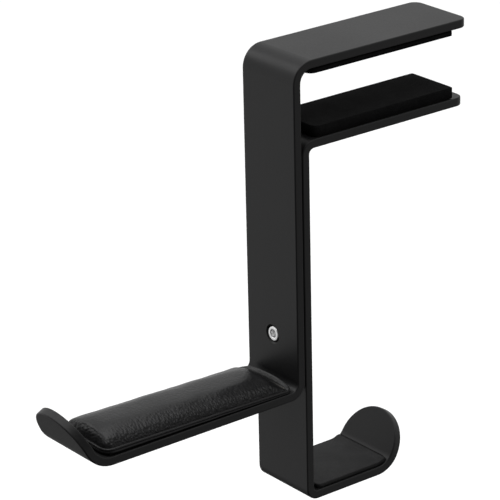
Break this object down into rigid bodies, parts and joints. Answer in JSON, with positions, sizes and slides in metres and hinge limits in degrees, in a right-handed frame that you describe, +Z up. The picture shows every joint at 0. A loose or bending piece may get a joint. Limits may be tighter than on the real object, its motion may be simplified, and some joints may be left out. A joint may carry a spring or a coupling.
{
  "type": "headphone hook",
  "caption": "Clamp-on desk hook of two sliding bent flat strips, with a long cushioned arm, a short padded rear hook and padded jaws, held by one hex-socket screw.",
  "frame": {"origin": "middle of the upper jaw pad's underside, the face that rests on the desk top", "axes": "+Z up, +Y from the hook towards the desk along the jaws, X across the strip"},
  "size_m": [0.03, 0.1877, 0.1766],
  "materials": {
    "powder_coat": "satin black powder coat",
    "screw_steel": "bright zinc",
    "zinc_steel": "dull zinc",
    "jaw_foam": "matt closed-cell foam rubber",
    "hook_foam": "matt foam rubber",
    "tape": "black double-sided tape",
    "leather": "fine pebble grain",
    "cushion_fill": "soft foam",
    "board": "matt",
    "lining": "smooth"
  },
  "bodies": {
    "front_frame": {"front_bracket": "powder_coat", "upper_jaw_pad": "jaw_foam", "upper_jaw_tape": "tape", "cushion_cover": "leather", "cushion_foam": "cushion_fill", "cushion_board": "board", "cushion_lining": "lining", "cushion_tape": "tape"},
    "rear_frame": {"rear_bracket": "powder_coat", "lower_jaw_pad": "jaw_foam", "lower_jaw_tape": "tape", "hook_pad": "hook_foam", "hook_tape": "tape"},
    "screw": {"clamp_screw": "screw_steel"},
    "nut": {"slot_nut": "zinc_steel"}
  },
  "joints": [
    {"name": "clamp_slide", "type": "slide", "parent": "front_frame", "child": "rear_frame", "axis": [0, 0, 1], "range_m": [-0.02, 0.01]},
    {"name": "screw_turn", "type": "hinge", "parent": "front_frame", "child": "screw", "pos_m": [0, -0.0425, -0.1046], "axis": [0, -1, 0], "range_deg": [0, 720]},
    {"name": "nut_travel", "type": "slide", "parent": "front_frame", "child": "nut", "axis": [0, 1, 0], "range_m": [0, 0.0014]}
  ],
  "couplings": [
    {"joint": "screw_turn", "follows": "nut_travel", "rad_per_m": 8975.9}
  ]
}
